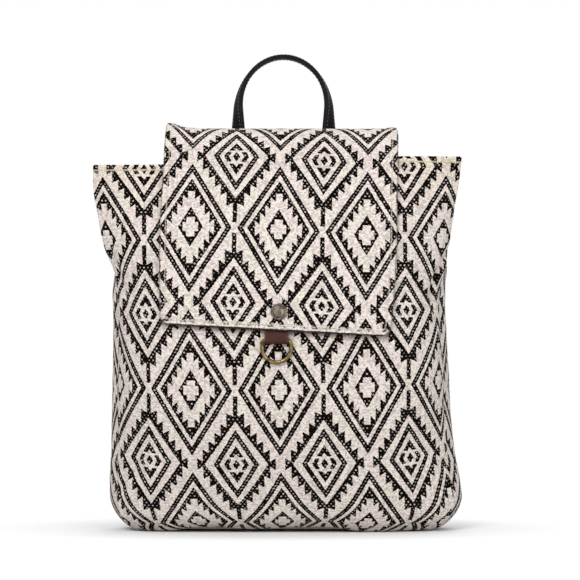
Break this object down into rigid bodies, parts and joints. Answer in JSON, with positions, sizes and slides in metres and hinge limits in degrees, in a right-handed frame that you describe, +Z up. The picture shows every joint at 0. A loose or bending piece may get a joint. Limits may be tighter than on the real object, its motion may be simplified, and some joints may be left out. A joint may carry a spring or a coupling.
{
  "type": "flap backpack",
  "caption": "Small canvas backpack with a fold-over flap, snap and D-ring pull tab, leather haul handle and adjustable shoulder straps.",
  "frame": {"origin": "middle of the whole footprint's box, on the surface that the bag stands on", "axes": "+Z up, the flap's front faces -Y, +X to the right as seen from the front"},
  "size_m": [0.3484, 0.1528, 0.4545],
  "materials": {
    "canvas": "slubby cream cotton canvas printed with black stepped diamonds",
    "twill": "plain light brown cotton twill",
    "black_leather": "black-brown leather, satin, worn lighter at its edges",
    "brown_leather": "red-brown leather, satin",
    "brass": "antique brass, bright on its high spots",
    "bronze": "antique bronze, turned rings",
    "steel": "nickel-plated",
    "webbing": "black cotton webbing"
  },
  "bodies": {
    "bag": {"front_panel": "canvas", "back_panel": "canvas", "left_gusset": "canvas", "right_gusset": "canvas", "base_panel": "canvas", "flap": "canvas", "lining": "twill", "flap_lining": "twill", "snap_cap": "bronze", "snap_socket": "steel", "snap_stud": "steel", "pull_tab": "brown_leather", "handle": "black_leather", "strap_yoke": "black_leather", "left_shoulder_strap": "black_leather", "right_shoulder_strap": "black_leather", "left_slider": "brass", "right_slider": "brass", "left_webbing": "webbing", "right_webbing": "webbing", "left_strap_ring": "brass", "right_strap_ring": "brass", "left_strap_lug": "black_leather", "right_strap_lug": "black_leather"},
    "ring": {"d_ring": "brass"}
  },
  "joints": [
    {"name": "ring_swing", "type": "hinge", "parent": "bag", "child": "ring", "pos_m": [-0.0005, -0.07311, 0.1805], "axis": [-1, 0, 0], "range_deg": [0, 140]}
  ]
}
